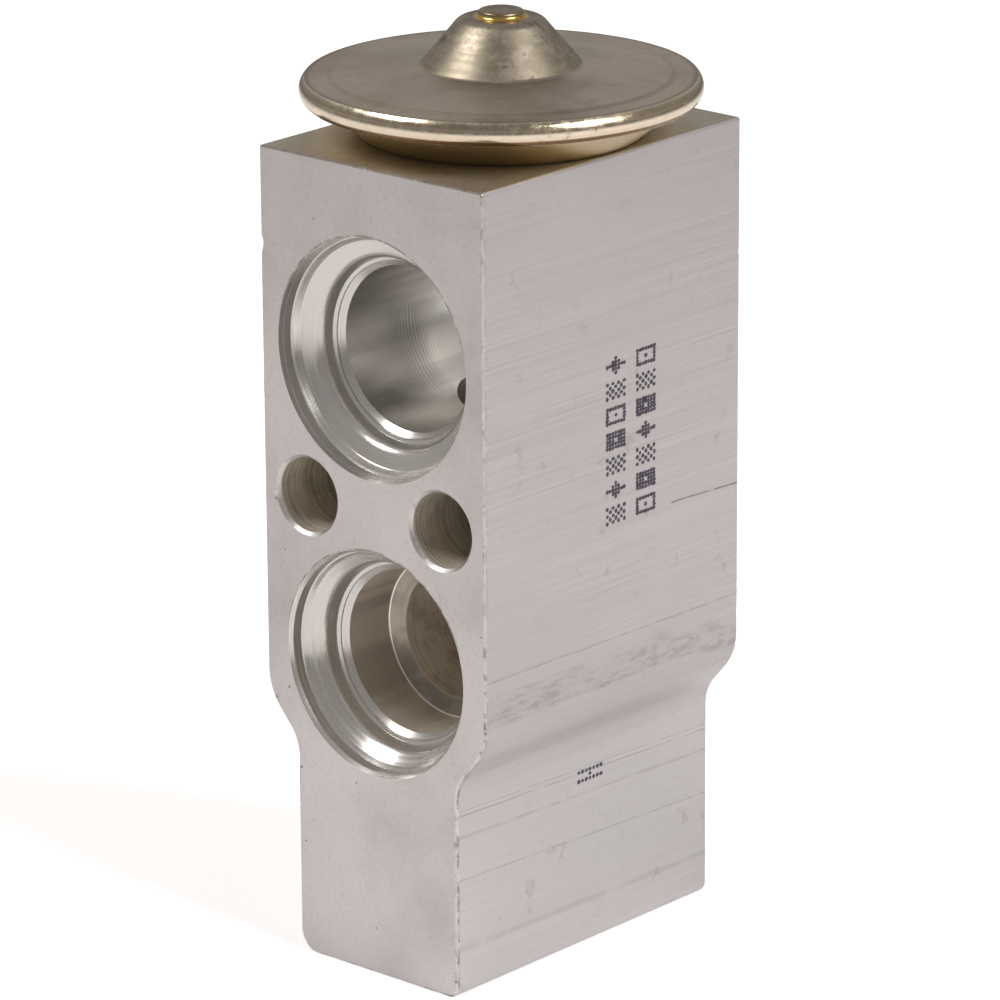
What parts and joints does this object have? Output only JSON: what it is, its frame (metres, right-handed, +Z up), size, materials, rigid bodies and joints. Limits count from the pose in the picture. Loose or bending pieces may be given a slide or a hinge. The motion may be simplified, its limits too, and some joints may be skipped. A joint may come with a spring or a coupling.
{
  "type": "thermostatic expansion valve",
  "caption": "Block expansion valve for a cooling circuit: bored aluminium block with a diaphragm power head, a sensing rod, a ball valve on a spring and an adjusting screw.",
  "frame": {"origin": "centre of the block's bottom face", "axes": "+Z up along the valve's axis to the power head, -Y out of the face with the suction and outlet ports, +Y out of the face with the suction and inlet ports"},
  "size_m": [0.0392, 0.0392, 0.094],
  "materials": {
    "block_aluminium": "extruded bar, satin, with fine drawn streaks and bright bored ports",
    "head_steel": "warm pressed stainless sheet",
    "rim_steel": "polished weld bead with faint heat tint",
    "plug_steel": "satin turned steel",
    "solder_brass": "smooth solder fillet",
    "diaphragm_steel": "thin bright sheet",
    "stop_brass": "turned",
    "neck_steel": "turned and threaded",
    "seal_rubber": "smooth moulded ring",
    "spring_steel": "bright spring wire and sheet",
    "rod_aluminium": "turned",
    "pin_steel": "ground and polished",
    "carrier_brass": "turned",
    "screw_brass": "turned"
  },
  "bodies": {
    "valve_block": {"valve_body": "block_aluminium", "threaded_neck": "neck_steel", "head_seal": "seal_rubber", "lower_cover": "head_steel", "upper_cover": "head_steel", "rim_weld": "rim_steel", "charge_plug": "plug_steel", "plug_solder": "solder_brass", "diaphragm": "diaphragm_steel", "rod_seal": "seal_rubber", "seal_retainer": "spring_steel", "bias_spring": "spring_steel"},
    "valve_train": {"diaphragm_stop": "stop_brass", "sensing_rod": "rod_aluminium", "operating_pin": "pin_steel", "valve_ball": "pin_steel", "ball_carrier": "carrier_brass", "damper_spring": "spring_steel"},
    "adjuster_ring": {"adjuster_seal": "seal_rubber"},
    "adjuster": {"adjusting_screw": "screw_brass"}
  },
  "joints": [
    {"name": "valve_lift", "type": "slide", "parent": "valve_block", "child": "valve_train", "axis": [0, 0, -1], "range_m": [0, 0.0008], "stiffness_N_per_m": 5000, "springref_m": -0.001, "deforming": ["bias_spring", "diaphragm"]},
    {"name": "adjuster_travel", "type": "slide", "parent": "valve_block", "child": "adjuster_ring", "axis": [0, 0, 1], "range_m": [-0.00076, 0.00076]},
    {"name": "adjuster_turn", "type": "hinge", "parent": "adjuster_ring", "child": "adjuster", "pos_m": [0, 0, 0.003], "axis": [0, 0, 1], "range_deg": [-270, 270]}
  ],
  "couplings": [
    {"joint": "adjuster_travel", "follows": "adjuster_turn", "m_per_rad": 0.00015915}
  ]
}
